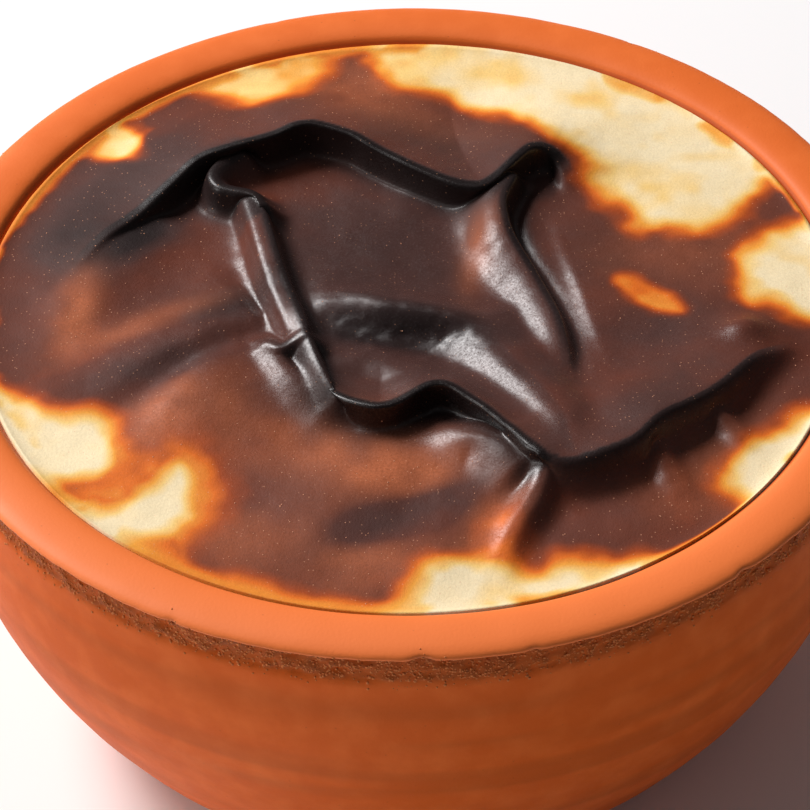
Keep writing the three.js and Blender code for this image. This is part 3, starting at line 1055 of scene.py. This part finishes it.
@dataclass(frozen=True)
class Pudding:
    """The pudding, from its folded skin down to the bowl's floor."""

    radius: float = 51.75
    across: int = 298
    level: float = RIM_Z - 1.4
    dome: float = 0.5
    wall_fade: float = 7.0
    blend: float = 0.35
    floor_height: float = 7.1
    gap: float = 0.3
    side_browning: float = 0.1

    def flat_places(self) -> Rows:
        """Lays an even net over the flat disc, with no pole.

        Returns:
            Rows of x and y, row by row of the net.
        """
        step = np.linspace(-1.0, 1.0, self.across)
        side = step * (0.74 + 0.26 * step ** 2)
        u, v = np.meshgrid(side, side)
        x = u * np.sqrt(1.0 - v ** 2 / 2.0)
        y = v * np.sqrt(1.0 - u ** 2 / 2.0)
        return self.radius * np.column_stack([x.ravel(), y.ravel()])

    def shaped(self, place: Rows, folded: tuple) -> Rows:
        """Lifts and pushes the flat skin into its folds.

        Args:
            place: Rows of x and y on the flat disc.
            folded: What all the folds do there.

        Returns:
            Rows of x, y and z.
        """
        folds, dips, push, _ = folded
        r = np.hypot(place[:, 0], place[:, 1])
        fade = smoothstep(0.0, self.wall_fade, self.radius - r)
        soft = 0.22 * Noise(9.0, 21).at(place) + 0.07 * Noise(3.5, 22).at(place)
        crinkled = CRINKLED.at(place)
        fine = (0.02 + 0.07 * crinkled) * Noise(1.1, 23).at(place)
        fine += 0.14 * crinkled * Noise(2.1, 24).at(place)
        z = self.level + self.dome * (1 - (r / self.radius) ** 2)
        flat = 1.0 - FLAT_AREAS.at(place)
        z = z + fade * (flat * (folds + SWELLS.at(place) - dips) + soft) + fine
        z = z + 0.45 * np.exp(-((self.radius - r) / 0.8))
        return np.column_stack([place + fade[:, None] * push, z])

    def folded(self, place: Rows) -> tuple[Rows, ...]:
        """Joins all the folds softly.

        Args:
            place: Rows of x and y.

        Returns:
            Their height, dips, sideways push, and charring with painted shade, at each.
        """
        total = np.ones(len(place))
        dips, peak_char_and_shade = np.zeros((2, len(place)))
        push = np.zeros((len(place), 2))
        for fold in FOLDS.values():
            rise, dip, shove, char_and_shade = fold.shape(place)
            lift = np.expm1(rise / self.blend)
            total += lift
            dips = np.maximum(dips, dip)
            peak_char_and_shade = np.maximum(peak_char_and_shade, char_and_shade)
            push += lift[:, None] * shove
        return self.blend * np.log(total), dips, push / total[:, None], peak_char_and_shade

    def browning(self, place: Rows, char_and_shade: Rows) -> Rows:
        """Works out how browned the skin is.

        Args:
            place: Rows of x and y.
            char_and_shade: How dark the folds' charring and painted shade make it.

        Returns:
            For each, from 0, cream, to 1, nearly black.
        """
        ragged = 1.3 * Noise(4.5, 31).at(place) + 0.5 * Noise(1.8, 32).at(place)
        # The darker ovals add to the browning, some of them as painted shade.
        dark = 0.62 + 0.04 * Noise(8.0, 33).at(place) + DARK_AND_SHADED_AREAS.at(place)
        # Charring and painted shade on the folds' steep faces darken the skin towards black.
        dark = dark + (0.98 - dark) * 0.9 * char_and_shade
        r = np.hypot(place[:, 0], place[:, 1])
        angle = np.arctan2(place[:, 1], place[:, 0])
        width = 1.6 + 2.4 * np.maximum(np.cos(angle - math.radians(246)), 0.0) ** 2 + 0.9 * ragged
        width = width * (1.0 - 0.55 * np.maximum(np.cos(angle - math.radians(312)), 0.0) ** 4)
        margin = smoothstep(1.0, 0.2, (self.radius - r) / np.maximum(width, 0.5))
        dark = dark + (0.32 - dark) * margin
        mottle = 0.1 * Noise(5.0, 34).at(place) + 0.05 * Noise(2.0, 35).at(place)
        for patch in PALE_PATCHES.values():
            depth = patch.inside(place) + ragged
            pale = smoothstep(-patch.soft, patch.soft, depth)
            target = patch.browning + np.maximum(mottle + 0.2 * margin * smoothstep(0.0, 0.6, ragged), -0.03)
            dark = np.minimum(dark, target + (dark - target) * (1.0 - pale))
        return np.clip(dark, 0.0, 1.0)

    def gloss(self, place: Rows, char_and_shade: Rows) -> Rows:
        """How glossy the skin is: the middle and every face with charring and painted shade, from 0 to 1."""
        return np.clip(np.maximum(GLOSSY.at(place), 0.7 * char_and_shade), 0.0, 1.0)

    def tan(self, place: Rows, browning: Rows, char_and_shade: Rows) -> Rows:
        """How far the skin is a lighter tan than its browning alone makes it."""
        share = TAN_AREAS.at(place) * (0.85 + 0.3 * Noise(3.0, 36).at(place))
        return np.clip(share, 0.0, 1.0) * smoothstep(0.35, 0.55, browning) * (1.0 - char_and_shade)

    def build(self, finish: Material, bowl: ClayBowl) -> Object:
        """Makes the closed pudding: the skin's net, then rings down the wall to the floor.

        Args:
            finish: The skin material.
            bowl: The bowl that it fills.

        Returns:
            The pudding.
        """
        place = self.flat_places()
        folded = self.folded(place)
        skin = self.shaped(place, folded)
        n = self.across
        index = np.arange(n * n).reshape(n, n)
        quads = np.stack([index[:-1, :-1], index[:-1, 1:], index[1:, 1:], index[1:, :-1]], -1)
        faces = quads.reshape(-1, 4).tolist()
        edge = np.concatenate([index[0, :-1], index[:-1, -1], index[-1, :0:-1], index[:0:-1, 0]])
        direction = place[edge] / self.radius
        vertices, count, upper = [skin], len(skin), edge
        for z in (RIM_Z - 6.0, RIM_Z - 20.0, RIM_Z - 34.0, self.floor_height):
            r = bowl.inner_radius(z - self.gap) - self.gap
            vertices.append(np.column_stack([direction * r, np.full(len(edge), z)]))
            lower = np.arange(count, count + len(edge))
            faces += np.roll(ring_faces(lower, upper), 1, axis=1).tolist()  # each starts on the upper ring
            count, upper = count + len(edge), lower
        vertices.append(np.array([[0.0, 0.0, self.floor_height]]))
        faces += fan_faces(upper, count)
        piece = link_mesh("pudding_skin", np.vstack(vertices), faces, finish)
        char_and_shade = folded[3]
        browning, gloss = self.browning(place, char_and_shade), self.gloss(place, char_and_shade)
        tan = self.tan(place, browning, char_and_shade)
        flecked = smoothstep(0.3, 0.6, browning) * (1.0 - 0.75 * gloss) * (1.0 - char_and_shade) * (0.3 + tan)
        below = np.full(count + 1 - len(skin), self.side_browning)
        add_values(piece, browning=np.append(browning, below), tan=tan, gloss=gloss, flecked=flecked)
        return piece


# ---- studio


@dataclass(frozen=True)
class Lamp:
    """A soft square light that looks at the bowl; its place and size are in metres."""

    name: str
    place: tuple
    size: float
    watts: float
    tint: tuple

    AIM: ClassVar[tuple] = (0.0, 0.0, 0.04)

    def add(self) -> None:
        """Puts the light in the scene."""
        light = bpy.data.lights.new(self.name, "AREA")
        light.size, light.energy, light.color = self.size, self.watts, self.tint
        place = Vector(self.place)
        turn = (Vector(self.AIM) - place).to_track_quat("-Z", "Y")
        link_object(self.name, light).matrix_world = Matrix.Translation(place) @ turn.to_matrix().to_4x4()


LAMPS = (
    Lamp("key", (-1.1, 1.0, 1.24), 0.84, 48.0, (1.0, 0.98, 0.98)),
    Lamp("side", (-0.9, -0.15, 0.45), 0.4, 2.8, (1.0, 0.98, 0.96)),
)


@dataclass(frozen=True)
class Studio:
    """The pale floor, the soft lights and the camera."""

    aim: tuple = (-0.6, -18.7, RIM_Z)
    distance: float = 450.0
    elevation: float = 42.86
    roll: float = 0.7
    lens: float = 170.5
    floor_half: float = 1500.0
    floor_z: float = -0.05
    air: tuple = (0.95, 0.97, 1.0, 1.0)
    air_strength: float = 0.1

    def add_camera(self) -> None:
        """Puts the camera on its arc round the aim point."""
        camera = link_object("camera", bpy.data.cameras.new("camera"))
        camera.data.lens = self.lens
        camera.data.clip_start = 0.01
        tilt, roll = math.radians(90.0 - self.elevation), math.radians(-self.roll)
        turn = Matrix.Rotation(tilt, 4, "X") @ Matrix.Rotation(roll, 4, "Z")
        back = turn @ Vector((0.0, 0.0, self.distance))
        camera.matrix_world = Matrix.Translation((Vector(self.aim) + back) * MM) @ turn
        bpy.context.scene.camera = camera

    def add_floor(self) -> None:
        """Lays the plain pale floor."""
        material, nodes, shader = new_material("pale_floor")
        nodes.fill(shader, {"Base Color": srgb(250, 250, 250), "Roughness": 0.9})
        corners = np.array([[-1, -1, 0], [1, -1, 0], [1, 1, 0], [-1, 1, 0]]) * self.floor_half
        corners = corners + np.array([0.0, 0.0, self.floor_z])
        floor = link_mesh("floor", corners, [[0, 1, 2, 3]], material)

    def build(self) -> None:
        """Sets up everything that isn't the object."""
        scene = bpy.context.scene
        scene.view_settings.view_transform = "Standard"
        scene.world = bpy.data.worlds.new("studio")
        scene.world.use_nodes = True
        nodes = Nodes(scene.world.node_tree)
        nodes.fill(nodes.tree.nodes["Background"], {"Color": self.air, "Strength": self.air_strength})
        self.add_floor()
        for lamp in LAMPS:
            lamp.add()
        self.add_camera()


def main() -> None:
    """Builds the studio, the bowl, the pudding and their scattered bits, and logs each piece's vertex count.
    """
    logging.basicConfig(level=logging.INFO)
    Studio().build()
    groups = SharedGroups()
    bowl = ClayBowl()
    clay = bowl.build(FiredClay().make(groups))
    skin = Pudding().build(BakedSkin().make(groups), bowl)
    scatter = BitScatter()
    grit = scatter.over(
        clay, "band_grit", where="torn", density=6500000.0, seed=41, height=0.7,
        smallest=0.00006, largest=0.00021, finish=GRIT_PAINTED_PALE.make(groups))
    specks = scatter.over(
        skin, "milk_specks", where="flecked", density=420000.0, seed=42, height=0.6,
        smallest=0.00004, largest=0.0001, finish=MILK_SPECKS.make(groups))
    place_piece(clay, "clay", "bowl")
    place_piece(skin, "browned_pudding", "pudding")
    place_piece(grit, "clay")
    place_piece(specks, "browned_pudding")


if __name__ == "__main__":
    main()
